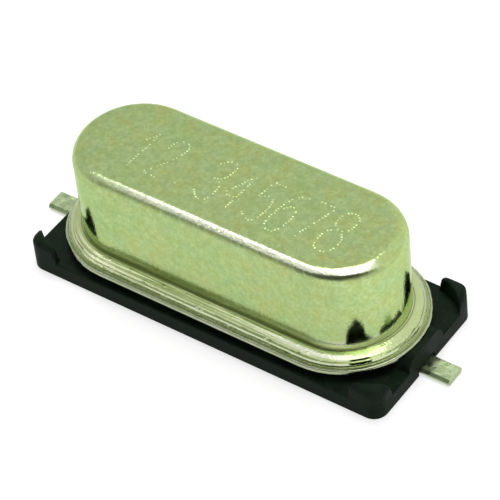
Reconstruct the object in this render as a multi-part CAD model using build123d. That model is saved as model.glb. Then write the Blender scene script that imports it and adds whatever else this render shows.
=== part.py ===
from build123d import *
import os

# A quartz crystal in a low metal can, made for surface mounting on a moulded insulator.
# Millimetres, +Z up. The origin is on the seating plane, under the middle of the can.
# +X runs along the can, through both leads.

# The whole part
overall_height = 3.86

# Can: one drawn sheet with a rounded crown and an out-turned welding flange.
# The flange is domed next to the wall and falls to its edge over two pressed ledges.
can_length = 10.04
can_width = 3.58
can_sheet = 0.24
can_crown_radius = 0.38
can_crown_inner_chamfer = 0.08
can_flange_reach = 0.40
can_root_rise = 0.027
can_dome_radius = 0.72
can_dome_reach = 0.265
can_dome_fall = 0.08
can_ledge_width = 0.05
can_ledge_fall = 0.065
can_ledge_slope = 0.02
can_mouth_chamfer = 0.12

# Header: the metal floor of the can, with a rim that the flange is welded to
header_lip = 0.105
header_rim_thickness = 0.13
header_rim_edge_radius = 0.06
header_rim_chamfer = 0.03
header_platform_rise = 0.40
header_platform_chamfer = 0.10
header_platform_clearance = 0.06

# Glass seals: one bead round each pin
glass_diameter = 1.20

# Leads: round pins that are bent outwards under the insulator and pressed flat
lead_pitch = 4.88
wire_diameter = 0.43
pin_stand = 0.12
lead_bend_radius = 0.36
lead_taper_length = 0.55
lead_strip_width = 0.66
lead_strip_thickness = 0.20
lead_strip_chamfer = 0.07
lead_reach = 0.87

# Insulator: a moulded plate with a raised seat and four corner posts.
# A low lip covers the root of each lead. Over the right-hand lead stands a rounded hump.
base_end_margin = 0.185
base_side_margin = 0.005
base_roof_thickness = 0.23
base_seat_rise = 0.32
base_seat_inset = 0.38
base_corner_radius = 0.40
base_edge_radius = 0.05
post_length = 0.94
post_depth = 0.66
post_thin_end = 0.18
post_rise = 0.56
post_crown_radius = 0.30
post_side_radius = 0.22
post_rim_clearance = 0.12
hump_width = 1.60
hump_rise = 0.40
hump_corner_radius = 0.35
hump_rim_clearance = 0.02
lip_reach = 0.29
lip_margin = 0.03
lip_thickness = 0.10
lead_clearance = 0.05

# Crystal blank and its electrode films
blank_thickness = 0.17
blank_end_room = 0.80
blank_foot_gap = 0.05
blank_top_gap = 0.20
film_thickness = 0.012
film_length = 4.20
film_edge_margin = 0.20
film_tab_height = 0.50

# Mounting clips and the conductive adhesive that holds the blank in them
clip_sheet = 0.10
clip_width = 1.10
clip_heel = 0.35
clip_bend_inner_radius = 0.06
clip_slot_clearance = 0.03
clip_top_gap = 0.35
blank_grip = 0.25
adhesive_width = 0.64
adhesive_height = 0.60
adhesive_length = 0.46
adhesive_chamfer = 0.14

# Every cut runs past the face that it opens by this much
cut_overrun = 0.20
# Edges are told apart to within this length
edge_match = 0.001

# Heights that follow, from the seating plane up
base_plate_thickness = lead_strip_thickness + lead_clearance + base_roof_thickness
seat_top = base_plate_thickness + base_seat_rise
can_bottom = seat_top + header_rim_thickness
platform_top = can_bottom + header_platform_rise
pin_top = platform_top + pin_stand
clip_foot_top = pin_top + clip_sheet
ceiling = overall_height - can_sheet
blank_bottom = clip_foot_top + blank_foot_gap
blank_top = ceiling - blank_top_gap
post_top = base_plate_thickness + post_rise
hump_top = base_plate_thickness + hump_rise
lip_bottom = lead_strip_thickness + lead_clearance
lip_top = lip_bottom + lip_thickness

# Lengths and widths that follow, from the can out to the leads
can_straight = can_length - can_width
cavity_length = can_length - 2 * can_sheet
cavity_width = can_width - 2 * can_sheet
header_reach = can_flange_reach + header_lip
header_length = can_length + 2 * header_reach
header_width = can_width + 2 * header_reach
base_length = header_length + 2 * base_end_margin
base_width = header_width + 2 * base_side_margin
lead_tip = base_length / 2 + lead_reach
pin_place = lead_pitch / 2
blank_length = cavity_length - 2 * blank_end_room
blank_middle = (blank_bottom + blank_top) / 2
clip_wall_place = blank_length / 2 - blank_grip

# The pieces at the two ends are the same, half a turn apart about Z
end_turns = {"right": 0, "left": 180}


def obround(length, width, bottom, top):
    """A block with straight sides and half-round ends, between two heights."""
    return Pos(0, 0, bottom) * extrude(SlotOverall(length, width), top - bottom)


def block(left, right, front, back, bottom, top):
    """A box given by its six faces."""
    corner = Pos(left, front, bottom)
    return corner * Box(right - left, back - front, top - bottom, align=Align.MIN)


def upright_rod(place, diameter, bottom, top):
    """A round rod along Z whose axis stands on the X axis."""
    rod = Cylinder(diameter / 2, top - bottom, align=(Align.CENTER, Align.CENTER, Align.MIN))
    return Pos(place, 0, bottom) * rod


def edges_at(solid, height):
    """All edges that lie flat at one height."""
    found = ShapeList()
    for edge in solid.edges():
        box = edge.bounding_box()
        if abs(box.min.Z - height) < edge_match and abs(box.max.Z - height) < edge_match:
            found.append(edge)
    return found


def outline_edges(solid, width, height):
    """The edges of an obround outline of one width that lie flat at one height."""
    found = []
    for edge in edges_at(solid, height):
        box = edge.bounding_box()
        if abs(max(-box.min.Y, box.max.Y) - width / 2) < edge_match:
            found.append(edge)
    return found


def flange_section():
    """Half of the flange's section: a dome from the wall outwards, then two ledges."""
    wall = can_width / 2
    inside = wall - can_sheet
    rim = wall + can_flange_reach
    root_height = can_bottom + can_sheet + can_root_rise
    dome_end = wall + can_dome_reach
    dome_foot = root_height - can_dome_fall
    upper_start = dome_end + can_ledge_slope
    upper_end = upper_start + can_ledge_width
    upper_height = dome_foot - can_ledge_fall
    lower_height = upper_height - can_ledge_fall
    outline = Polyline((dome_end, dome_foot), (upper_start, upper_height), (upper_end, upper_height),
                       (upper_end + can_ledge_slope, lower_height), (rim, lower_height),
                       (rim, can_bottom), (inside, can_bottom), (inside, root_height),
                       (wall, root_height))
    outline += RadiusArc((wall, root_height), (dome_end, dome_foot), can_dome_radius)
    return make_face(outline)


def make_flange():
    """The flange: its section run along both sides and turned about both ends."""
    half_straight = can_straight / 2
    side = extrude(Plane.YZ * flange_section(), half_straight, both=True)
    end = revolve(Plane.XZ * flange_section(), Axis.Z, 180)
    end = Pos(half_straight, 0, 0) * (Rot(0, 0, -90) * end)
    flange = side + end
    return flange + Rot(0, 0, 180) * flange


def make_can():
    """The drawn can: even sheet up the wall and over the crown, open below, with its flange."""
    can = obround(can_length, can_width, can_bottom, overall_height) + make_flange()
    can = fillet(outline_edges(can, can_width, overall_height), can_crown_radius)
    hollow = obround(cavity_length, cavity_width, can_bottom - cut_overrun, ceiling)
    hollow = chamfer(outline_edges(hollow, cavity_width, ceiling), can_crown_inner_chamfer)
    can -= hollow
    return chamfer(outline_edges(can, cavity_width, can_bottom), can_mouth_chamfer)


def make_header():
    """The header: a rim under the flange and a raised platform that centres the can."""
    platform_length = cavity_length - 2 * header_platform_clearance
    platform_width = cavity_width - 2 * header_platform_clearance
    header = obround(header_length, header_width, seat_top, can_bottom)
    header = fillet(outline_edges(header, header_width, can_bottom), header_rim_edge_radius)
    header = chamfer(outline_edges(header, header_width, seat_top), header_rim_chamfer)
    platform = obround(platform_length, platform_width, can_bottom, platform_top)
    header += chamfer(outline_edges(platform, platform_width, platform_top),
                      header_platform_chamfer)
    for side in (-1, 1):
        header -= upright_rod(side * pin_place, glass_diameter, seat_top - cut_overrun,
                              platform_top + cut_overrun)
    return header


def make_glass_seal():
    """The bead that fills one hole of the header and holds one pin."""
    bead = upright_rod(pin_place, glass_diameter, seat_top, platform_top)
    return bead - upright_rod(pin_place, wire_diameter, seat_top - cut_overrun,
                              platform_top + cut_overrun)


def strip_section(place):
    """The section of a pressed lead at one place along X, resting on the seating plane."""
    middle = Plane((place, 0, lead_strip_thickness / 2), x_dir=(0, 1, 0), z_dir=(1, 0, 0))
    return middle * Rectangle(lead_strip_width, lead_strip_thickness)


def wire_section(place):
    """The section of the round wire at one place along X, resting on the seating plane."""
    middle = Plane((place, 0, wire_diameter / 2), x_dir=(0, 1, 0), z_dir=(1, 0, 0))
    return middle * Circle(wire_diameter / 2)


def make_lead():
    """One lead: the pin, the bend under the header, the taper and the flat solder tab."""
    bend_start = wire_diameter / 2 + lead_bend_radius
    taper_start = pin_place + lead_bend_radius
    taper_end = taper_start + lead_taper_length
    lead = upright_rod(pin_place, wire_diameter, bend_start, pin_top)
    hub = Axis((taper_start, 0, bend_start), (0, 1, 0))
    lead += revolve(wire_section(taper_start), hub, 90)
    lead += loft([wire_section(taper_start), strip_section(taper_end)])
    strip = extrude(strip_section(taper_end), lead_tip - taper_end)
    return lead + chamfer(strip.edges().filter_by(Axis.X), lead_strip_chamfer)


def make_lead_room():
    """The hole and the stepped channel that one lead needs in the insulator."""
    channel_half = lead_strip_width / 2 + lead_clearance
    deep_start = pin_place - wire_diameter / 2 - lead_clearance
    deep_end = pin_place + lead_bend_radius + lead_taper_length + lead_clearance
    deep_roof = wire_diameter + lead_clearance
    flat_roof = lead_strip_thickness + lead_clearance
    flat_end = base_length / 2 + lip_reach + cut_overrun
    room = upright_rod(pin_place, wire_diameter + 2 * lead_clearance, -cut_overrun,
                       seat_top + cut_overrun)
    room += block(deep_start, deep_end, -channel_half, channel_half, -cut_overrun, deep_roof)
    room += block(deep_start, flat_end, -channel_half, channel_half, -cut_overrun, flat_roof)
    return room


def crowned_outline(width, height, radius):
    """An upright outline that stands on its lower edge, with its two top corners rounded."""
    outline = Rectangle(width, height, align=(Align.CENTER, Align.MIN))
    return fillet(outline.vertices().group_by(Axis.Y)[-1], radius)


def make_post():
    """The upright at one corner, thin at its inner end, with a hollowed face to the can."""
    end = base_length / 2
    side = base_width / 2
    thin_end = (end - post_length, side - post_thin_end)
    deep_end = (end, side - post_depth)
    hollow = (end - post_length / 2, side - post_thin_end)
    outline = Line((end, side), (end - post_length, side))
    outline += Line((end - post_length, side), thin_end)
    outline += Bezier(thin_end, hollow, deep_end)
    outline += Line(deep_end, (end, side))
    along = Pos(end - post_length / 2, 0) * crowned_outline(post_length, post_top, post_crown_radius)
    across = Pos(side - post_depth / 2, 0) * crowned_outline(post_depth, post_top, post_side_radius)
    post = extrude(make_face(outline), post_top)
    post &= extrude(Plane.XZ * along, base_width, both=True)
    post &= extrude(Plane.YZ * across, base_length, both=True)
    return post & extrude(RectangleRounded(base_length, base_width, base_corner_radius), post_top)


def make_hump():
    """The rounded wall over the right-hand lead, cut clear of the header's rim."""
    outline = crowned_outline(hump_width, hump_top, hump_corner_radius)
    hump = extrude(Plane.YZ * outline, base_length / 2)
    return hump - obround(header_length + 2 * hump_rim_clearance,
                          header_width + 2 * hump_rim_clearance,
                          seat_top - hump_rim_clearance, hump_top + cut_overrun)


def make_insulator():
    """The moulded insulator that spaces the header from the board and guides the leads."""
    plate = extrude(RectangleRounded(base_length, base_width, base_corner_radius),
                    base_plate_thickness)
    plate = fillet(edges_at(plate, base_plate_thickness), base_edge_radius)
    seat_length = header_length - 2 * base_seat_inset
    seat_width = header_width - 2 * base_seat_inset
    lip_end = base_length / 2 + lip_reach
    lip_half = lead_strip_width / 2 + lip_margin
    plate += block(-lip_end, lip_end, -lip_half, lip_half, lip_bottom, lip_top)
    insulator = plate + make_hump() + obround(seat_length, seat_width, 0, seat_top)
    rim_room = obround(header_length + 2 * post_rim_clearance,
                       header_width + 2 * post_rim_clearance, base_plate_thickness, post_top)
    post = make_post() - rim_room
    end_posts = post + mirror(post, Plane.XZ)
    for turn in end_turns.values():
        insulator += Rot(0, 0, turn) * end_posts
        insulator -= Rot(0, 0, turn) * make_lead_room()
    return insulator


def make_blank():
    """The quartz strip, standing on its long edge across the two clips."""
    half_length = blank_length / 2
    half_thickness = blank_thickness / 2
    return block(-half_length, half_length, -half_thickness, half_thickness,
                 blank_bottom, blank_top)


def make_film():
    """The electrode on the blank's front face, with a tab to the left-hand clip."""
    face = -blank_thickness / 2
    film = block(-film_length / 2, film_length / 2, face - film_thickness, face,
                 blank_bottom + film_edge_margin, blank_top - film_edge_margin)
    tab = block(-blank_length / 2, 0, face - film_thickness, face,
                blank_middle - film_tab_height / 2, blank_middle + film_tab_height / 2)
    return film + tab


def heel_edge(clip_block):
    """The lower edge of a clip's block along Y, on the side of the blank's end."""
    return clip_block.edges().filter_by(Axis.Y).sort_by(Axis.Z)[:2].sort_by(Axis.X)[-1]


def make_clip():
    """A bent spring clip on one pin: a foot, and a wall with a slot for the blank's end."""
    wall_end = clip_wall_place + clip_sheet
    half_width = clip_width / 2
    half_slot = blank_thickness / 2 + clip_slot_clearance
    wall_top = blank_top - clip_top_gap
    clip = block(pin_place - clip_heel, wall_end, -half_width, half_width, pin_top, wall_top)
    clip = fillet(heel_edge(clip), clip_bend_inner_radius + clip_sheet)
    inside = block(pin_place - clip_heel - cut_overrun, clip_wall_place,
                   -half_width - cut_overrun, half_width + cut_overrun,
                   clip_foot_top, wall_top + cut_overrun)
    inside = fillet(heel_edge(inside), clip_bend_inner_radius)
    slot = block(clip_wall_place - cut_overrun, wall_end + cut_overrun, -half_slot, half_slot,
                 blank_bottom - clip_slot_clearance, wall_top + cut_overrun)
    return clip - inside - slot


def make_adhesive(clip, blank, films):
    """The drop of conductive adhesive round the blank's end, where it sits in a clip."""
    drop = Box(adhesive_length, adhesive_width, adhesive_height)
    drop = chamfer(drop.edges(), adhesive_chamfer)
    drop = Pos(clip_wall_place + clip_sheet / 2, 0, blank_middle) * drop
    drop -= clip
    drop -= blank
    for film in films:
        drop -= film
    return drop


def build_pieces():
    """Every piece of the part by name, in place."""
    pieces = {"can": make_can(), "header": make_header(), "insulator": make_insulator()}
    lead = make_lead()
    seal = make_glass_seal()
    clip = make_clip()
    for name, turn in end_turns.items():
        pieces["lead_" + name] = Rot(0, 0, turn) * lead
        pieces["glass_seal_" + name] = Rot(0, 0, turn) * seal
        pieces["clip_" + name] = Rot(0, 0, turn) * clip
    pieces["quartz_blank"] = make_blank()
    film = make_film()
    pieces["electrode_front"] = film
    pieces["electrode_back"] = Rot(0, 0, 180) * film
    films = [pieces["electrode_front"], pieces["electrode_back"]]
    adhesive = make_adhesive(clip, pieces["quartz_blank"], films)
    for name, turn in end_turns.items():
        pieces["adhesive_" + name] = Rot(0, 0, turn) * adhesive
    return pieces


os.makedirs("parts", exist_ok=True)
for piece_name, piece in build_pieces().items():
    export_step(piece, os.path.join("parts", piece_name + ".step"))
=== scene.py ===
# %% [markdown]
# # A surface-mount quartz crystal
# The part is a drawn metal can welded to a thin metal floor, on a black moulded
# insulator with two tinned leads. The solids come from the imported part, already in
# metres and in place, so this lesson only gives them their finishes, cuts a dotted
# number into the can, opens the insulator's ends and sets up a small studio.

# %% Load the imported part
import math
import random

import bmesh
import bpy
from mathutils import Matrix, Vector


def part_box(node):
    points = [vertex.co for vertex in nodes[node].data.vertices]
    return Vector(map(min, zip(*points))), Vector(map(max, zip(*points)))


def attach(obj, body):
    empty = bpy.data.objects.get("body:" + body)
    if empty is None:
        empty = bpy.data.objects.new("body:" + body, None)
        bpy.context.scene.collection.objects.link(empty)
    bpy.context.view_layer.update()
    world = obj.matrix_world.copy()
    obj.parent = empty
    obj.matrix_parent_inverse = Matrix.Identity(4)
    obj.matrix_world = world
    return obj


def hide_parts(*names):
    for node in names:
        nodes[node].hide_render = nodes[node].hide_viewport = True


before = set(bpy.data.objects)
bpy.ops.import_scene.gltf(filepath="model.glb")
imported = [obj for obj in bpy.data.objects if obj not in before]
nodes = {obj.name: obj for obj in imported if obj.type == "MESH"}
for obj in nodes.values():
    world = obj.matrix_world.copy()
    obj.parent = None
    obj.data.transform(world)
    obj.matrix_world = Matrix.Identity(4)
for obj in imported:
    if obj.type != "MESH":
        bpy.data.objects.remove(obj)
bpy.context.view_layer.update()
mm = 0.001

# %% [markdown]
# ## The camera
# The photograph looks down at the part from its front right with a long lens, so
# parallel edges stay almost parallel. A camera could be aimed with a constraint, but
# here its three axes are worked out from two angles and a roll, because those are the
# numbers that were fitted to the corners in the picture.

# %% Camera
azimuth, elevation, roll = (math.radians(a) for a in (39.635, 44.958, -6.767))
aim_height = 1.5 * mm
camera_distance = 79.536 * mm
step_right, step_up = 0.162 * mm, -0.039 * mm
picture_width = 500
focal_pixels = 2983.055

back = Vector((
    math.sin(azimuth) * math.cos(elevation),
    -math.cos(azimuth) * math.cos(elevation),
    math.sin(elevation),
))
level = Vector((math.cos(azimuth), math.sin(azimuth), 0))
across = Matrix.Rotation(roll, 3, back) @ level
upward = back.cross(across)

camera_data = bpy.data.cameras.new("camera")
camera_data.sensor_width = 36
camera_data.lens = focal_pixels / picture_width * camera_data.sensor_width
camera_data.clip_start, camera_data.clip_end = 5 * mm, 10
camera = bpy.data.objects.new("camera", camera_data)
camera.matrix_world = Matrix((across, upward, back)).transposed().to_4x4()
camera.location = (
    Vector((0, 0, aim_height))
    + back * camera_distance + across * step_right + upward * step_up
)
bpy.context.collection.objects.link(camera)
bpy.context.scene.camera = camera
bpy.context.scene.view_settings.view_transform = "Standard"
print("lens in mm:", round(camera_data.lens, 1))

# %% [markdown]
# ## Small helpers for shader nodes
# A node tree made by hand needs the same three moves again and again: add a node,
# feed its inputs with a number or a link, take an output. These helpers do just that,
# so the cells below can be read as recipes.

# %% Node helpers
def feed(tree, socket, value):
    """Links a socket to another node's output, or sets it to a plain value."""
    if isinstance(value, bpy.types.NodeSocket):
        tree.links.new(value, socket)
    else:
        socket.default_value = value


def maths(tree, operation, *values):
    node = tree.nodes.new("ShaderNodeMath")
    node.operation = operation
    for socket, value in zip(node.inputs, values):
        feed(tree, socket, value)
    return node.outputs[0]


def spread(tree, value, low, high, to_low=0.0, to_high=1.0):
    """Maps low..high smoothly onto to_low..to_high, and holds it there outside."""
    node = tree.nodes.new("ShaderNodeMapRange")
    node.interpolation_type = "SMOOTHSTEP"
    for socket, number in zip(node.inputs, (value, low, high, to_low, to_high)):
        feed(tree, socket, number)
    return node.outputs[0]


def product(tree, first, *others):
    for other in others:
        first = maths(tree, "MULTIPLY", first, other)
    return first


def band(tree, value, rise, fall):
    """One between two soft edges, each given by where it starts and ends; else nought."""
    return product(tree, spread(tree, value, *rise), spread(tree, value, *fall, 1, 0))


def mix_colours(tree, amount, first, second):
    node = tree.nodes.new("ShaderNodeMix")
    node.data_type = "RGBA"
    feed(tree, node.inputs["Factor"], amount)
    feed(tree, node.inputs["A"], first)
    feed(tree, node.inputs["B"], second)
    return node.outputs["Result"]


def tinted(tree, colour, mask, share, tint):
    """Tints a colour where the mask is one, by the share given."""
    return mix_colours(tree, maths(tree, "MULTIPLY", mask, share), colour, tint)


def parts_of(tree, vector):
    """Splits a vector into its X, Y and Z."""
    node = tree.nodes.new("ShaderNodeSeparateXYZ")
    feed(tree, node.inputs[0], vector)
    return node.outputs["X"], node.outputs["Y"], node.outputs["Z"]


def noise(tree, vector, per_mm, detail=2.0):
    node = tree.nodes.new("ShaderNodeTexNoise")
    feed(tree, node.inputs["Vector"], vector)
    feed(tree, node.inputs["Scale"], per_mm)
    feed(tree, node.inputs["Detail"], detail)
    return node.outputs["Fac"]


def stretched(tree, vector, scale):
    node = tree.nodes.new("ShaderNodeMapping")
    feed(tree, node.inputs["Vector"], vector)
    feed(tree, node.inputs["Scale"], scale)
    return node.outputs["Vector"]


print("node helpers ready")

# %% [markdown]
# ## The studio
# The part was photographed in a bright tent: white below and around, one long soft
# panel overhead that whitens the rounded edges, and a dim patch where the camera
# stands. Metal shows all of that, so the world gives mirror-like rays this tent, while
# plain diffuse light stays low because the panel already brings most of it.

# %% Where the panel hangs
panel_distance = 0.30
panel_tilt, panel_side = math.radians(7.6), math.radians(103)
panel_length, panel_width = 1.00 * panel_distance, 0.46 * panel_distance
panel_turn = math.radians(-34)

towards = Vector((math.sin(panel_tilt) * math.cos(panel_side),
                  math.sin(panel_tilt) * math.sin(panel_side), math.cos(panel_tilt)))
long_way = Vector((math.cos(panel_turn), math.sin(panel_turn), 0))
short_way = towards.cross(long_way).normalized()
long_way = short_way.cross(towards)
print("panel above the part by mm:", round(panel_distance * towards.z / mm))

# %% The tent and its dim patch
tent_level, tent_dull_side = 1.10, 0.80
dull_until, bright_from = -0.7, 0.2
dim_level = 0.12
dim_turn, dim_rise = math.radians(22), math.radians(59)
dim_half_width, dim_upper, dim_lower = 1.06, 0.24, 0.72
dim_core, dim_rim = 0.30, 1.15

world = bpy.data.worlds.new("tent")
bpy.context.scene.world = world
world.use_nodes = True
tree = world.node_tree
tree.nodes.clear()
place = tree.nodes.new("ShaderNodeTexCoord").outputs["Generated"]
turn = tree.nodes.new("ShaderNodeMapping")
turn.vector_type = "TEXTURE"
turn.inputs["Rotation"].default_value = (-dim_rise, 0, dim_turn)
feed(tree, turn.inputs["Vector"], place)
turned_x, turned_y, turned_z = parts_of(tree, turn.outputs[0])
wide = maths(tree, "DIVIDE", turned_x, dim_half_width)
tall = maths(tree, "MAXIMUM", maths(tree, "DIVIDE", turned_z, dim_upper),
             maths(tree, "DIVIDE", turned_z, -dim_lower))
reach = maths(tree, "SQRT", maths(tree, "ADD", product(tree, wide, wide),
                                  product(tree, tall, tall)))
dim_patch = product(tree, spread(tree, reach, dim_core, dim_rim, 1, 0),
                    maths(tree, "LESS_THAN", turned_y, 0.0))
tent_x, _, tent_z = parts_of(tree, place)
tent_here = spread(tree, tent_x, dull_until, bright_from, tent_dull_side, tent_level)
tent = spread(tree, dim_patch, 0, 1, tent_here, dim_level)
print("tent with", len(tree.nodes), "nodes")

# %% [markdown]
# ### The panel as metal sees it
# A lamp as bright as the panel would turn every flat mirror below it plain white when
# seen from above. So metal doesn't see the lamp itself but a picture of it in the world,
# bright towards its ends, where the photograph's highlights come from, and plainer
# straight overhead. A direction lies on the panel where its parts along the panel's two
# sides, divided by its part towards the panel, are small enough.

# %% The mirrored panel
panel_bright, panel_overhead = 4.6, 1.7
panel_edge = 0.03
fade_from, fade_to = 0.94, 0.985


def part_along(axis):
    """How far the tent's directions point along an axis."""
    node = tree.nodes.new("ShaderNodeVectorMath")
    node.operation = "DOT_PRODUCT"
    feed(tree, node.inputs[0], place)
    node.inputs[1].default_value = axis
    return node.outputs["Value"]


ahead = part_along(towards)
on_panel = maths(tree, "GREATER_THAN", ahead, 0.0)
for axis, size in ((long_way, panel_length), (short_way, panel_width)):
    off = maths(tree, "ABSOLUTE", maths(tree, "DIVIDE", part_along(axis), ahead))
    half = size / panel_distance / 2
    on_panel = product(tree, on_panel,
                       spread(tree, off, half - panel_edge, half + panel_edge, 1, 0))
panel_here = spread(tree, tent_z, fade_from, fade_to, panel_bright, panel_overhead)
tent = spread(tree, on_panel, 0, 1, tent, panel_here)
print("panel and tent:", len(tree.nodes), "nodes")

# %% [markdown]
# ### One world for each kind of ray
# The Light Path node tells what kind of ray has reached the world. Rays from the camera
# get plain white, mirror-like rays get the tent, and all others get a low, even fill.
# The lamp then lights plain surfaces and casts the shadow, and stays out of sight.

# %% What each kind of ray sees
fill_level = 0.42
white = (1, 1, 1, 1)


def seen_plainly(tree, path):
    """One for rays from the camera, straight or through glass."""
    return maths(tree, "MAXIMUM", path.outputs["Is Camera Ray"],
                 path.outputs["Is Transmission Ray"])


path = tree.nodes.new("ShaderNodeLightPath")
lit = mix_colours(tree, path.outputs["Is Glossy Ray"], (fill_level,) * 3 + (1,), tent)
sky = tree.nodes.new("ShaderNodeBackground")
feed(tree, sky.inputs["Color"], mix_colours(tree, seen_plainly(tree, path), lit, white))
tree.links.new(sky.outputs[0], tree.nodes.new("ShaderNodeOutputWorld").inputs[0])
print("world with", len(tree.nodes), "nodes")

# %% The lamp for plain surfaces
panel_radiance = 4.6

panel_data = bpy.data.lights.new("panel", "AREA")
panel_data.shape = "RECTANGLE"
panel_data.size, panel_data.size_y = panel_length, panel_width
panel_data.energy = panel_radiance * math.pi * panel_length * panel_width
panel = bpy.data.objects.new("panel", panel_data)
panel.matrix_world = Matrix((long_way, short_way, towards)).transposed().to_4x4()
panel.location = towards * panel_distance
panel.visible_camera = panel.visible_glossy = False
bpy.context.collection.objects.link(panel)
print("panel power in watts:", round(panel_data.energy, 3))

# %% [markdown]
# ## The floor
# A pale sheet under the part. It could be plain diffuse white, but then the picture's
# background would be grey. A little emission, only for rays from the camera and for
# mirror-like rays, lifts it to white and leaves the part's soft shadow on it. It lies a
# hair below the part, so that no two faces share a plane, and it is clear from below.

# %% Floor sheet
floor_size, floor_drop = 0.5, 0.01 * mm
floor_mesh = bpy.data.meshes.new("floor")
bm = bmesh.new()
bmesh.ops.create_grid(bm, x_segments=1, y_segments=1, size=floor_size,
                      matrix=Matrix.Translation((0, 0, -floor_drop)))
bm.to_mesh(floor_mesh)
bm.free()
floor = bpy.data.objects.new("floor", floor_mesh)
bpy.context.collection.objects.link(floor)
print("floor half width in m:", floor_size)

# %% Floor paint
floor_grey = (0.62, 0.62, 0.62, 1)
lift_seen, lift_front, lift_right = 0.54, 0.45, 0.62
front_until, right_from = 4 * mm, 9 * mm

floor_paint = bpy.data.materials.new("pale_floor")
floor_paint.use_nodes = True
tree = floor_paint.node_tree
tree.nodes.clear()
matt = tree.nodes.new("ShaderNodeBsdfDiffuse")
matt.inputs["Color"].default_value = floor_grey
lift = tree.nodes.new("ShaderNodeEmission")
path = tree.nodes.new("ShaderNodeLightPath")
floor_place = tree.nodes.new("ShaderNodeTexCoord").outputs["Object"]
floor_x, _, _ = parts_of(tree, floor_place)
mirrored = spread(tree, floor_x, front_until, right_from, lift_front, lift_right)
feed(tree, lift.inputs["Strength"], maths(
    tree, "MAXIMUM", product(tree, seen_plainly(tree, path), lift_seen),
    product(tree, path.outputs["Is Glossy Ray"], mirrored)))
both = tree.nodes.new("ShaderNodeAddShader")
tree.links.new(matt.outputs[0], both.inputs[0])
tree.links.new(lift.outputs[0], both.inputs[1])
clear = tree.nodes.new("ShaderNodeBsdfTransparent")
side_seen = tree.nodes.new("ShaderNodeNewGeometry")
from_below = tree.nodes.new("ShaderNodeMixShader")
feed(tree, from_below.inputs[0], side_seen.outputs["Backfacing"])
tree.links.new(both.outputs[0], from_below.inputs[1])
tree.links.new(clear.outputs[0], from_below.inputs[2])
tree.links.new(from_below.outputs[0],
               tree.nodes.new("ShaderNodeOutputMaterial").inputs[0])
floor_mesh.materials.append(floor_paint)
print("floor paint:", len(tree.nodes), "nodes")

# %% [markdown]
# ## Effects that several finishes share
# Rolled and plated metal is never one flat colour: the plating blooms in soft patches,
# handling leaves thin rubbed lines, and edges that knock against others in a tray get
# pecked. Each effect is a node group with its own inputs, so that one recipe serves the
# can, the header, the leads and the clips at their own scales.

# %% Groups of nodes
def new_group(name, inputs, outputs):
    group = bpy.data.node_groups.new(name, "ShaderNodeTree")
    for label, kind in inputs:
        group.interface.new_socket(label, in_out="INPUT", socket_type=kind)
    for label, kind in outputs:
        group.interface.new_socket(label, in_out="OUTPUT", socket_type=kind)
    return group, group.nodes.new("NodeGroupInput"), group.nodes.new("NodeGroupOutput")


number, vector = "NodeSocketFloat", "NodeSocketVector"

# soft patches, wide or fine: a noise spread out to the full range
bloom, given, result = new_group(
    "plating_bloom", [("Place", vector), ("Per mm", number)], [("Patches", number)])
patches = noise(bloom, given.outputs["Place"], given.outputs["Per mm"], 3.0)
feed(bloom, result.inputs["Patches"], spread(bloom, patches, 0.32, 0.68))

# thin lines: where a stretched noise crosses its middle value
rubbed, given, result = new_group(
    "rubbed_lines", [("Place", vector), ("Per mm", number), ("Width", number)],
    [("Lines", number)])
drift = noise(rubbed, given.outputs["Place"], given.outputs["Per mm"], 1.5)
away = maths(rubbed, "ABSOLUTE", maths(rubbed, "SUBTRACT", drift, 0.5))
feed(rubbed, result.inputs["Lines"],
     maths(rubbed, "SUBTRACT", 1.0, spread(rubbed, away, 0.0, given.outputs["Width"])))

# pecks: small round cells, of which only some are struck
pecked, given, result = new_group(
    "pecked_spots", [("Place", vector), ("Per mm", number), ("Share", number)],
    [("Spots", number)])
cells = pecked.nodes.new("ShaderNodeTexVoronoi")
feed(pecked, cells.inputs["Vector"], given.outputs["Place"])
feed(pecked, cells.inputs["Scale"], given.outputs["Per mm"])
chance = pecked.nodes.new("ShaderNodeSeparateColor")
feed(pecked, chance.inputs[0], cells.outputs["Color"])
struck = maths(pecked, "LESS_THAN", chance.outputs[0], given.outputs["Share"])
spot = spread(pecked, cells.outputs["Distance"], 0.15, 0.55, 1, 0)
feed(pecked, result.inputs["Spots"], product(pecked, struck, spot))

print("groups:", [group.name for group in bpy.data.node_groups])

# %% [markdown]
# ### Where on the ring
# The can and the header are obrounds: a straight run with half a circle at each end.
# Their wear follows that ring, so one group turns a place into the distance outside the
# can's wall and the height above the floor. That is the distance from the middle line,
# which costs a few maths nodes and needs no UV map.

# %% Ring group
can_low, can_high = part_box("can")
flange_reach = 0.40
can_half_width = (can_high.y - can_low.y) / 2 / mm - flange_reach
can_half_straight = (can_high.x - can_low.x) / 2 / mm - flange_reach - can_half_width
sheet_thickness = 0.24
foot_height = can_low.z / mm + sheet_thickness

ring, given, result = new_group(
    "ring_place", [("Place", vector)], [("Outside", number), ("Height", number)])
ring_x, ring_y, ring_z = parts_of(ring, given.outputs["Place"])
beyond = maths(ring, "MAXIMUM", maths(
    ring, "SUBTRACT", maths(ring, "ABSOLUTE", ring_x), can_half_straight), 0.0)
from_line = maths(ring, "SQRT", maths(
    ring, "ADD", product(ring, beyond, beyond), product(ring, ring_y, ring_y)))
feed(ring, result.inputs["Outside"], maths(ring, "SUBTRACT", from_line, can_half_width))
feed(ring, result.inputs["Height"], ring_z)
print("can wall: half width", round(can_half_width, 3),
      "half straight", round(can_half_straight, 3))

# %% [markdown]
# ### Starting a finish
# Every finish begins alike: a Principled shader, and the place on the part in
# millimetres from Object coordinates, so that a pattern stays put on its piece. Heights
# are added up into one bump, since a row of bump nodes costs more and shows no more.

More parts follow.
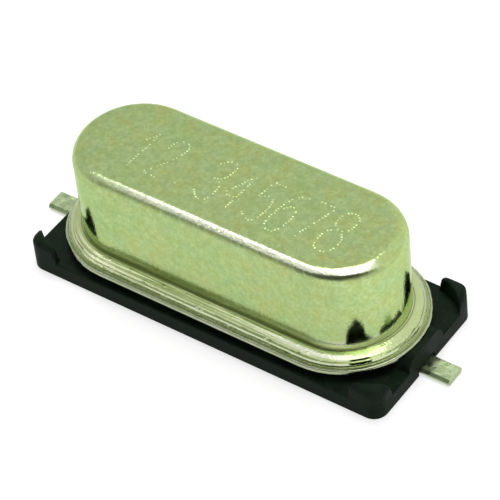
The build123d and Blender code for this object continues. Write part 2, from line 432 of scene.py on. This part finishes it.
# %% A new material
def new_finish(name):
    """Makes a material and returns it with its tree, shader and place in millimetres."""
    finish = bpy.data.materials.new(name)
    finish.use_nodes = True
    tree = finish.node_tree
    shader = tree.nodes["Principled BSDF"]
    size = tree.nodes.new("ShaderNodeVectorMath")
    size.operation = "SCALE"
    size.inputs["Scale"].default_value = 1 / mm
    feed(tree, size.inputs[0], tree.nodes.new("ShaderNodeTexCoord").outputs["Object"])
    return finish, tree, shader, size.outputs["Vector"]


def use_group(tree, group, place, **values):
    node = tree.nodes.new("ShaderNodeGroup")
    node.node_tree = group
    feed(tree, node.inputs["Place"], place)
    for label, value in values.items():
        feed(tree, node.inputs[label.replace("_", " ")], value)
    return node.outputs


def raise_surface(tree, shader, height, depth_mm):
    """Bumps the shader's normal by a height that runs from 0 to 1."""
    bump = tree.nodes.new("ShaderNodeBump")
    bump.inputs["Distance"].default_value = depth_mm * mm
    feed(tree, bump.inputs["Height"], height)
    feed(tree, shader.inputs["Normal"], bump.outputs["Normal"])


def add_heights(tree, *parts):
    """Adds heights, each given with its share."""
    total = 0.0
    for height, share in parts:
        total = maths(tree, "MULTIPLY_ADD", height, share, total)
    return total


print("material helpers ready")

# %% [markdown]
# ## The can's finish
# Nickel-plated drawn steel with a warm, slightly green cast. Drawing leaves faint upright
# streaks on the walls, the press leaves lines along the flange, and the front of the
# crown is pecked where cans knock together. Painted maps could hold all that, but masks
# worked out from the place on the ring need no map and fit any view, so they come first.
# An attribute of the mesh, set further down, tells where the number is pecked in.
# Some masks paint light: pale bands where the panel's highlight falls on the crown and
# the flange's front, pale and dark streaks along the front press lines, the wall's foot
# coloured as its reflection of the flange, and painted shade in the crease at the
# flange's root.

# %% Can metal: where things are
can_metal, tree, shader, place = new_finish("can_metal")
shader.inputs["Metallic"].default_value = 1
x, y, _ = parts_of(tree, place)
on_ring = use_group(tree, ring, place)
outside, height = on_ring["Outside"], on_ring["Height"]
can_top = can_high.z / mm

on_dome = spread(tree, outside, 0.0, 0.03)
at_root = product(tree, on_dome, spread(tree, outside, 0.03, 0.11, 1, 0))
# painted shade: a dark line in the crease at the flange's root
root_painted_shade = band(tree, outside, (0.012, 0.022), (0.040, 0.060))
on_ledges = spread(tree, outside, 0.25, 0.29)
# painted reflection: the wall's lowest band, coloured as the flange mirrored in it
foot_painted_reflection = product(tree, spread(tree, outside, 0.0, 0.03, 1, 0),
                  spread(tree, height, foot_height + 0.22, foot_height + 0.45, 1, 0))
near_side = spread(tree, y, -2.0, -1.0, 1, 0)
front_crown = product(tree, spread(tree, height, can_top - 0.24, can_top - 0.12),
                      spread(tree, y, -1.55, -1.40, 1, 0))
worn_crown = product(tree, front_crown, spread(tree, x, 2.2, 4.2, 1, 0))
# painted highlight: a pale band on the crown's front half, where the panel's highlight
# falls
crown_painted_highlight = product(
    tree, band(tree, height, (can_top - 0.095, can_top - 0.070),
               (can_top - 0.010, can_top - 0.002)),
    spread(tree, y, -0.9, -0.3, 1, 0), spread(tree, x, -4.4, -1.0))
# painted highlight: a pale band on the flange's front, where the panel's highlight falls
dome_painted_highlight = product(tree, band(tree, outside, (0.08, 0.12), (0.23, 0.25)), near_side,
                      spread(tree, x, 1.2, 3.6))
mark = tree.nodes.new("ShaderNodeAttribute")
mark.attribute_name = "cratered"
cratered = mark.outputs["Fac"]
print("nodes for the can's masks:", len(tree.nodes))

# %% [markdown]
# ### Patches, lines and scratches
# The plating blooms at four sizes, from wide soft clouds to a fine mottle. The press
# lines are a noise that is long round the ring and narrow across it, so they follow the
# flange round its ends. Scratches are the thin rubbed lines, and only within some patches.

# %% Can metal: patterns
lines_across, lines_along = 15.0, 0.35
wide_patches = use_group(tree, bloom, place, Per_mm=0.9)["Patches"]
tint_patches = use_group(tree, bloom, place, Per_mm=2.3)["Patches"]
small_patches = use_group(tree, bloom, place, Per_mm=4.6)["Patches"]
fine_patches = use_group(tree, bloom, place, Per_mm=11.0)["Patches"]
scratches = product(tree, use_group(
    tree, rubbed, stretched(tree, place, (1, 1, 2)), Per_mm=0.8, Width=0.006)["Lines"],
    use_group(tree, bloom, place, Per_mm=1.3)["Patches"])
round_ring = tree.nodes.new("ShaderNodeCombineXYZ")
for socket, part, scale in zip(round_ring.inputs, (outside, x, y),
                               (lines_across, lines_along, lines_along)):
    feed(tree, socket, maths(tree, "MULTIPLY", part, scale))
press_lines = noise(tree, round_ring.outputs[0], 1.0, 3.0)
print("nodes with the patterns:", len(tree.nodes))

# %% Can metal: colour
# the press lines are real, but their colour here is painted light: near-white painted
# highlights and dark streaks, on the flange's front only
press_line_painted_streaks = mix_colours(tree, spread(tree, press_lines, 0.42, 0.60),
                        (0.380, 0.460, 0.190, 1), (0.930, 0.960, 0.660, 1))
dome_tint = mix_colours(tree, near_side, (0.510, 0.590, 0.310, 1), press_line_painted_streaks)
# painted reflection of the flange in the wall's foot: dark along the front, pale at the
# right end
foot_reflection_tint = mix_colours(tree, spread(tree, x, 3.2, 4.2),
                        (0.300, 0.330, 0.200, 1), (0.660, 0.680, 0.520, 1))
dome_share = maths(tree, "MULTIPLY_ADD", tint_patches, 0.3, 0.60)
# painted highlights: the pale bands on the crown and on the flange's front
painted_highlights = maths(tree, "MAXIMUM", crown_painted_highlight, dome_painted_highlight)

colour = mix_colours(tree, wide_patches,
                     (0.375, 0.520, 0.200, 1), (0.465, 0.525, 0.190, 1))
for mask, share, tint in (
    (tint_patches, 0.60, (0.375, 0.550, 0.300, 1)),
    (small_patches, 0.55, (0.525, 0.650, 0.275, 1)),
    (fine_patches, 0.38, (0.285, 0.385, 0.145, 1)),
    (scratches, 0.30, (0.260, 0.340, 0.150, 1)),
    (foot_painted_reflection, 0.80, foot_reflection_tint),
    (on_dome, dome_share, dome_tint),
    (at_root, 0.40, (0.400, 0.460, 0.190, 1)),
    (root_painted_shade, 0.70, (0.180, 0.200, 0.085, 1)),
    (on_ledges, 0.85, (0.560, 0.610, 0.420, 1)),
    (painted_highlights, 0.80, (0.860, 0.900, 0.720, 1)),
    (cratered, 0.25, (0.620, 0.680, 0.400, 1)),
):
    colour = tinted(tree, colour, mask, share, tint)
feed(tree, shader.inputs["Base Color"], colour)
shader.inputs["Specular Tint"].default_value = (0.82, 0.92, 0.70, 1)
print("nodes with the colour:", len(tree.nodes))

# %% [markdown]
# ### Roughness and bump
# Worn places and craters are duller. One bump carries everything that is too fine for
# the solid: upright streaks, grain, pecks and dents in loose clusters, the press lines,
# and the flange's outer edge, which turns up a little. The right end stays smooth.

# %% Can metal: roughness and bump
bump_depth = 0.010
dull = maths(tree, "MULTIPLY_ADD", small_patches, 0.05, 0.085)
dull = maths(tree, "MULTIPLY_ADD", worn_crown, 0.24, dull)
dull = maths(tree, "MULTIPLY_ADD", cratered, 0.26, dull)
feed(tree, shader.inputs["Roughness"], dull)

streaks = noise(tree, stretched(tree, place, (9, 9, 0.5)), 1.0, 3.0)
grain = noise(tree, place, 14.0, 3.0)
crown_grain = product(tree, worn_crown, noise(tree, place, 8.0, 3.0))
dome_grain = product(tree, on_dome, noise(tree, place, 7.0, 3.0))
dome_lines = product(tree, on_dome, near_side,
                     spread(tree, x, 1.4, 3.0, 1.0, 0.1), press_lines)
clusters = use_group(tree, bloom, place, Per_mm=2.0)["Patches"]
spots = product(tree, use_group(tree, pecked, place, Per_mm=13.0, Share=0.22)["Spots"],
                clusters, front_crown)
dents = product(tree, use_group(
    tree, pecked, stretched(tree, place, (0.6, 1, 1)), Per_mm=9.0, Share=0.30)["Spots"],
    on_dome, clusters, spread(tree, y, -2.0, -1.8, 1, 0))
root_slope = spread(tree, outside, 0.0, 0.12, 1, 0)
turned_up = spread(tree, outside, 0.350, 0.400)
raise_surface(tree, shader, add_heights(
    tree, (streaks, 0.35), (grain, 0.25), (spots, 1.3), (crown_grain, 2.2),
    (dome_grain, 0.35), (dome_lines, 2.8), (dents, 1.5), (root_slope, 0.6),
    (turned_up, 2.0)), bump_depth)
print("can metal:", len(tree.nodes), "nodes")

# %% [markdown]
# ## The header's finish
# The floor of the case is a greyer plate than the can. Only its rim shows, a thin lip
# under the flange that stands up a little at its edge. The same groups serve it with less
# colour, and the ring group tells the bump where that raised edge runs.

# %% Header metal
header_metal, tree, shader, place = new_finish("header_metal")
shader.inputs["Metallic"].default_value = 1
patches = use_group(tree, bloom, place, Per_mm=3.0)["Patches"]
lines = use_group(tree, rubbed, stretched(tree, place, (1, 1, 6)),
                  Per_mm=3.0, Width=0.04)["Lines"]
colour = mix_colours(tree, patches, (0.36, 0.42, 0.25, 1), (0.44, 0.48, 0.33, 1))
feed(tree, shader.inputs["Base Color"],
     tinted(tree, colour, lines, 0.3, (0.26, 0.29, 0.18, 1)))
feed(tree, shader.inputs["Roughness"], maths(tree, "MULTIPLY_ADD", patches, 0.10, 0.18))
bead = spread(tree, use_group(tree, ring, place)["Outside"], 0.405, 0.460)
raise_surface(tree, shader, add_heights(
    tree, (bead, 1.0), (noise(tree, place, 12.0, 3.0), 0.25)), 0.020)
print("header metal:", len(tree.nodes), "nodes")

# %% [markdown]
# ## The insulator's finish
# Black heat-proof plastic, filled with mineral, with a dry sheen. Its moulded skin has a
# fine grain, and handling leaves paler rubs. It mirrors little, so the specular level
# is below the usual half.

# %% Insulator plastic
insulator_plastic, tree, shader, place = new_finish("insulator_plastic")
shader.inputs["Specular IOR Level"].default_value = 0.05
patches = use_group(tree, bloom, place, Per_mm=2.2)["Patches"]
flecks = use_group(tree, pecked, place, Per_mm=11.0, Share=0.10)["Spots"]
colour = mix_colours(tree, patches, (0.0055, 0.0115, 0.0065, 1), (0.011, 0.020, 0.012, 1))
feed(tree, shader.inputs["Base Color"],
     tinted(tree, colour, flecks, 0.3, (0.035, 0.042, 0.034, 1)))
feed(tree, shader.inputs["Roughness"], maths(tree, "MULTIPLY_ADD", patches, 0.15, 0.42))
raise_surface(tree, shader, add_heights(
    tree, (noise(tree, place, 16.0, 3.0), 0.6), (flecks, 0.5)), 0.006)
print("insulator plastic:", len(tree.nodes), "nodes")

# %% [markdown]
# ## The leads' finish
# Hot-dipped tin over a flat strip: pale, soft-edged and uneven, because the tin froze
# in small lumps. A coarse bump and patchy roughness give that, and no mirror edge.

# %% Tinned lead
tinned_lead, tree, shader, place = new_finish("tinned_lead")
shader.inputs["Metallic"].default_value = 1
patches = use_group(tree, bloom, place, Per_mm=4.0)["Patches"]
lumps = noise(tree, place, 3.5, 2.0)
lines = use_group(tree, rubbed, stretched(tree, place, (1, 5, 5)),
                  Per_mm=2.0, Width=0.04)["Lines"]
colour = mix_colours(tree, patches, (0.310, 0.405, 0.210, 1), (0.405, 0.490, 0.285, 1))
feed(tree, shader.inputs["Base Color"],
     tinted(tree, colour, lines, 0.3, (0.32, 0.40, 0.24, 1)))
feed(tree, shader.inputs["Roughness"], maths(tree, "MULTIPLY_ADD", patches, 0.16, 0.22))
raise_surface(tree, shader, add_heights(
    tree, (lumps, 1.0), (noise(tree, place, 12.0, 2.0), 0.25)), 0.014)
print("tinned lead:", len(tree.nodes), "nodes")

# %% [markdown]
# ## Finishes of the sealed pieces
# Glass seals, spring clips, the quartz strip with its silver films and the conductive
# adhesive are shut in the can. They still get a true finish each, because the model
# may be opened up or cut later.

# %% Sealed pieces
seal_glass, tree, shader, place = new_finish("seal_glass")
shader.inputs["Transmission Weight"].default_value = 0.6
shader.inputs["IOR"].default_value = 1.50
patches = use_group(tree, bloom, place, Per_mm=6.0)["Patches"]
feed(tree, shader.inputs["Base Color"],
     mix_colours(tree, patches, (0.16, 0.26, 0.22, 1), (0.24, 0.36, 0.30, 1)))
feed(tree, shader.inputs["Roughness"], maths(tree, "MULTIPLY_ADD", patches, 0.08, 0.08))

clip_metal, tree, shader, place = new_finish("clip_metal")
shader.inputs["Metallic"].default_value = 1
lines = use_group(tree, rubbed, stretched(tree, place, (1, 1, 5)),
                  Per_mm=4.0, Width=0.05)["Lines"]
feed(tree, shader.inputs["Base Color"],
     mix_colours(tree, lines, (0.58, 0.56, 0.50, 1), (0.44, 0.42, 0.37, 1)))
feed(tree, shader.inputs["Roughness"], maths(tree, "MULTIPLY_ADD", lines, 0.10, 0.25))

quartz, tree, shader, place = new_finish("quartz")
shader.inputs["Transmission Weight"].default_value = 0.9
shader.inputs["IOR"].default_value = 1.54
patches = use_group(tree, bloom, place, Per_mm=8.0)["Patches"]
feed(tree, shader.inputs["Base Color"],
     mix_colours(tree, patches, (0.86, 0.88, 0.87, 1), (0.93, 0.94, 0.94, 1)))
feed(tree, shader.inputs["Roughness"], maths(tree, "MULTIPLY_ADD", patches, 0.10, 0.12))

silver_film, tree, shader, place = new_finish("silver_film")
shader.inputs["Metallic"].default_value = 1
patches = use_group(tree, bloom, place, Per_mm=5.0)["Patches"]
feed(tree, shader.inputs["Base Color"],
     mix_colours(tree, patches, (0.80, 0.79, 0.75, 1), (0.88, 0.87, 0.84, 1)))
feed(tree, shader.inputs["Roughness"], maths(tree, "MULTIPLY_ADD", patches, 0.10, 0.16))

silver_adhesive, tree, shader, place = new_finish("silver_adhesive")
shader.inputs["Metallic"].default_value = 0.7
flakes = use_group(tree, pecked, place, Per_mm=25.0, Share=0.5)["Spots"]
feed(tree, shader.inputs["Base Color"],
     mix_colours(tree, flakes, (0.48, 0.47, 0.44, 1), (0.72, 0.71, 0.68, 1)))
feed(tree, shader.inputs["Roughness"], maths(tree, "MULTIPLY_ADD", flakes, -0.2, 0.55))
raise_surface(tree, shader, noise(tree, place, 10.0, 2.0), 0.01)
print("materials:", len(bpy.data.materials))

# %% [markdown]
# ## Giving each solid its finish
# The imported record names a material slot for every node, so the finishes are handed out
# by piece name. A CAD mesh is never edited; only its material slots are.

# %% Hand out the finishes
finishes = {
    "can": can_metal, "header": header_metal, "insulator": insulator_plastic,
    "lead_right": tinned_lead, "lead_left": tinned_lead,
    "glass_seal_right": seal_glass, "glass_seal_left": seal_glass,
    "clip_right": clip_metal, "clip_left": clip_metal,
    "quartz_blank": quartz, "electrode_front": silver_film, "electrode_back": silver_film,
    "adhesive_right": silver_adhesive, "adhesive_left": silver_adhesive,
}
for name, finish in finishes.items():
    for slot in nodes[name].material_slots:
        slot.material = finish
print("finished nodes:", len(finishes), "of", len(nodes))

# %% [markdown]
# ## The dotted number
# A needle or a laser pecks the number into the top, one small crater after another.
# Bump alone would look painted on, so the craters are cut. Each digit is a few control
# points of a smooth line in a box one unit wide and one high; Blender's own NURBS
# line rounds them, and the dots are then stepped along it.

# %% Digit lines
straight, curved = 2, 3
digit_lines = {
    "1": [(straight, [(0.20, 0.76), (0.55, 1.0), (0.55, 0.0)])],
    "2": [(curved, [(0.05, 0.72), (0.05, 1.04), (1.0, 1.06), (0.95, 0.60), (0.05, 0.0)]),
          (straight, [(0.05, 0.0), (0.98, 0.0)])],
    "3": [(curved, [(0.05, 0.88), (0.35, 1.08), (1.02, 1.04), (0.92, 0.54), (0.38, 0.53)]),
          (curved, [(0.38, 0.53), (1.06, 0.54), (1.06, -0.06), (0.40, -0.06),
                    (0.02, 0.14)])],
    "4": [(straight, [(0.72, 0.0), (0.72, 1.0), (0.0, 0.30), (1.0, 0.30)])],
    "5": [(straight, [(0.92, 1.0), (0.22, 1.0), (0.14, 0.56)]),
          (curved, [(0.14, 0.56), (1.0, 0.78), (1.10, -0.04), (0.40, -0.06),
                    (0.02, 0.12)])],
    "6": [(curved, [(0.88, 0.96), (0.30, 0.96), (-0.04, 0.34), (0.10, -0.08), (0.92, -0.10),
                    (1.04, 0.58), (0.30, 0.66), (0.06, 0.30)])],
    "7": [(straight, [(0.02, 1.0), (0.96, 1.0), (0.36, 0.0)])],
    "8": [(curved, [(0.50, 0.54), (0.02, 0.58), (0.04, 1.04), (0.96, 1.04), (0.98, 0.58),
                    (0.50, 0.54), (-0.06, 0.46), (-0.02, -0.06), (1.02, -0.06),
                    (1.06, 0.46), (0.50, 0.54)])],
    ".": [(straight, [(0.42, 0.02), (0.50, 0.10)])],
}
number_shown = "12.345678"
digit_width, digit_height = 0.54 * mm, 1.42 * mm
digit_step = 0.775 * mm
digit_lean = 0.07
number_start, number_foot = -3.25 * mm, -0.84 * mm
top_height = can_high.z

lines_data = bpy.data.curves.new("number_lines", "CURVE")
lines_data.dimensions = "2D"
lines_data.resolution_u = 10
for place_in_row, digit in enumerate(number_shown):
    for order, points in digit_lines[digit]:
        spline = lines_data.splines.new("NURBS")
        spline.points.add(len(points) - 1)
        for point, (u, v) in zip(spline.points, points):
            x = number_start + digit_step * place_in_row + digit_width * u
            y = digit_height * v
            point.co = (x + digit_lean * y, number_foot + y, 0, 1)
        spline.order_u = order
        spline.use_endpoint_u = True
number_lines = bpy.data.objects.new("number_lines", lines_data)
line_mesh = bpy.data.meshes.new_from_object(number_lines)
print("line points:", len(line_mesh.vertices))

# %% [markdown]
# ### Stepping along the lines
# The curve gives back a chain of short edges. Walking along each edge and dropping a dot
# at every step keeps the pitch even; a dot that would touch an earlier one is left
# out, so no two craters overlap and the cut stays clean.

# %% Dot places
dot_pitch = 0.093 * mm
dot_gap = 0.089 * mm
jitter = 0.006 * mm
dice = random.Random(7)

dots = []
carried = 0.0
for edge in line_mesh.edges:
    start, end = (line_mesh.vertices[i].co for i in edge.vertices)
    length = (end - start).length
    along = carried
    while along < length:
        spot = start.lerp(end, along / length)
        spot += Vector((dice.uniform(-jitter, jitter), dice.uniform(-jitter, jitter), 0))
        if all((spot - other).length > dot_gap for other in dots):
            dots.append(spot)
        along += dot_pitch
    carried = along - length
print("dots:", len(dots))

# %% [markdown]
# ### The crater tool
# One crater is a flat-bottomed dish. A blunt cone with few faces is enough at this size,
# since there are some two hundred of them. All the cones together are the tool that a
# Boolean takes out of a copy of the can.

# %% Crater dishes
crater_radius, crater_floor_radius = 0.044 * mm, 0.018 * mm
crater_depth, crater_sides = 0.0027 * mm, 10
shallowest, deepest = 0.7, 1.15
above_sheet = 0.0005 * mm

bm = bmesh.new()
for spot in dots:
    depth = crater_depth * dice.uniform(shallowest, deepest)
    centre = Vector((spot.x, spot.y, top_height + (above_sheet - depth) / 2))
    bmesh.ops.create_cone(bm, cap_ends=True, segments=crater_sides,
                          radius1=crater_floor_radius, radius2=crater_radius,
                          depth=depth + above_sheet,
                          matrix=Matrix.Translation(centre))
tool_mesh = bpy.data.meshes.new("crater_tool")
bm.to_mesh(tool_mesh)
bm.free()
tool = bpy.data.objects.new("crater_tool", tool_mesh)
bpy.context.collection.objects.link(tool)
print("tool faces:", len(tool_mesh.polygons))

# %% The marked can
merge_distance = 0.0002 * mm
bm = bmesh.new()
bm.from_mesh(nodes["can"].data)
bmesh.ops.remove_doubles(bm, verts=bm.verts, dist=merge_distance)
can_mesh = bpy.data.meshes.new("can_marked")
bm.to_mesh(can_mesh)
bm.free()
can_marked = bpy.data.objects.new("can_marked", can_mesh)
bpy.context.collection.objects.link(can_marked)
cut = can_marked.modifiers.new("craters", "BOOLEAN")
cut.operation, cut.solver, cut.object = "DIFFERENCE", "EXACT", tool
graph = bpy.context.evaluated_depsgraph_get()
can_marked.data = bpy.data.meshes.new_from_object(can_marked.evaluated_get(graph))
can_marked.modifiers.clear()
bpy.data.objects.remove(tool)
can_marked.data.name = "can_marked"
print("marked can:", len(can_marked.data.polygons), "faces")

# %% [markdown]
# ### Telling the finish where the craters are
# A pecked spot is duller and paler than the sheet. The finish can't know a crater by its
# place, so every point below the top, within the number's box, gets a value of one in an
# attribute of its own, and the finish reads that.

# %% Mark the craters
x_low, x_high = min(spot.x for spot in dots), max(spot.x for spot in dots)
y_low, y_high = min(spot.y for spot in dots), max(spot.y for spot in dots)
crater_values = can_marked.data.attributes.new("cratered", "FLOAT", "POINT").data
for vertex, value in zip(can_marked.data.vertices, crater_values):
    x, y, z = vertex.co
    in_box = (x_low - crater_radius < x < x_high + crater_radius
              and y_low - crater_radius < y < y_high + crater_radius)
    sunk = top_height - 2 * crater_depth < z < top_height - merge_distance
    value.value = float(in_box and sunk)
points_in_craters = [value.value > 0 for value in crater_values]
print("points in craters:", sum(points_in_craters))

# %% [markdown]
# ### Smooth bends, flat faces
# After the cut the sheet's bends must shade as bends and its flat faces as flats. Edges
# sharper than a set angle are marked sharp, and a Weighted Normal modifier lets the
# big flat faces keep their own direction. The craters are too shallow for that angle, so
# their rims are marked too: the edges of a sunk face between two points that aren't sunk.

# %% Shade the marked can
sharp_angle = math.radians(28)


def finish_copy(piece, finish):
    """Smooths a copy's bends, keeps its flat faces flat and gives it its finish."""
    mesh = piece.data
    for attribute in ("custom_normal", "sharp_face"):
        if attribute in mesh.attributes:
            mesh.attributes.remove(mesh.attributes[attribute])
    mesh.shade_smooth()
    mesh.set_sharp_from_angle(angle=sharp_angle)
    piece.modifiers.new("flat_faces", "WEIGHTED_NORMAL").keep_sharp = True
    mesh.materials.clear()
    mesh.materials.append(finish)


finish_copy(can_marked, can_metal)
rims = set()
for face in can_marked.data.polygons:
    if any(points_in_craters[i] for i in face.vertices):
        rims.update(pair for pair in face.edge_keys
                    if not any(points_in_craters[i] for i in pair))
for edge in can_marked.data.edges:
    if edge.key in rims:
        edge.use_edge_sharp = True
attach(can_marked, "root")
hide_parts("can")
print("sharp edges:", sum(edge.use_edge_sharp for edge in can_marked.data.edges))

# %% [markdown]
# ## The insulator's ends
# The solid has a thin roof over the root of each lead. On the real part the strip lies
# open right up to the end wall, and mirrors that wall. So a copy of the insulator has
# both roofs taken off. A Boolean could do it, but a bisecting plane is enough: set just
# outside the end wall, it clears what lies beyond, the small opening is filled, and
# merging draws the fill onto the wall.

# %% Take off the roofs
roof_reach = 0.29 * mm
cut_beyond = 0.001 * mm
insulator_low, insulator_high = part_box("insulator")

bm = bmesh.new()
bm.from_mesh(nodes["insulator"].data)
bmesh.ops.remove_doubles(bm, verts=bm.verts, dist=merge_distance)
for side, end in ((1, insulator_high.x), (-1, insulator_low.x)):
    cut = bmesh.ops.bisect_plane(
        bm, geom=bm.verts[:] + bm.edges[:] + bm.faces[:],
        plane_co=(end - side * (roof_reach - cut_beyond), 0, 0), plane_no=(side, 0, 0),
        clear_outer=True)
    rim = [item for item in cut["geom_cut"] if isinstance(item, bmesh.types.BMEdge)]
    bmesh.ops.holes_fill(bm, edges=rim)
bmesh.ops.remove_doubles(bm, verts=bm.verts, dist=2 * cut_beyond)
print("length in mm:", round((max(v.co.x for v in bm.verts)
                              - min(v.co.x for v in bm.verts)) / mm, 3))

# %% [markdown]
# ### Rounder posts
# The moulded posts at the corners are rounder than a bevel between so many small faces
# can make them. Their faces are halved until they are even, and smoothing then rounds
# them. Merging close points first can fold a thin face flat on its neighbour, so both
# faces of such a pair are taken out, which leaves the skin closed.

# %% Round the posts
post_start = Vector((4.6, 1.0, 0.525)) * mm
post_grain, shortest = 0.055 * mm, 0.02 * mm
halvings, rounds_of_smoothing = 4, 16


def on_post(vertex):
    return all(abs(at) > start for at, start in zip(vertex.co, post_start))


bmesh.ops.bisect_plane(bm, geom=bm.verts[:] + bm.edges[:] + bm.faces[:],
                       plane_co=(0, 0, post_start.z), plane_no=(0, 0, 1))
bmesh.ops.remove_doubles(bm, verts=[v for v in bm.verts if on_post(v)], dist=shortest)
for halving in range(halvings):
    long_edges = [edge for edge in bm.edges if edge.calc_length() > post_grain
                  and any(on_post(v) for v in edge.verts)]
    bmesh.ops.subdivide_edges(bm, edges=long_edges, cuts=1)
    bmesh.ops.triangulate(bm, faces=[face for face in bm.faces if len(face.verts) > 3
                                     and any(on_post(v) for v in face.verts)])
by_points = {}
for face in bm.faces:
    by_points.setdefault(frozenset(face.verts), []).append(face)
folded = [face for twins in by_points.values() if len(twins) > 1 for face in twins]
bmesh.ops.delete(bm, geom=folded, context="FACES")
post_points = [v for v in bm.verts if on_post(v)]
for smoothing in range(rounds_of_smoothing):
    bmesh.ops.smooth_vert(bm, verts=post_points, factor=0.5,
                          use_axis_x=True, use_axis_y=True, use_axis_z=True)
print("post points:", len(post_points), "folded faces taken out:", len(folded))

# %% The insulator with open leads
insulator_mesh = bpy.data.meshes.new("insulator_open")
bm.to_mesh(insulator_mesh)
print("odd edges:", sum(not edge.is_manifold for edge in bm.edges))
bm.free()
insulator_open = bpy.data.objects.new("insulator_open", insulator_mesh)
bpy.context.collection.objects.link(insulator_open)
finish_copy(insulator_open, insulator_plastic)
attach(insulator_open, "root")
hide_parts("insulator")
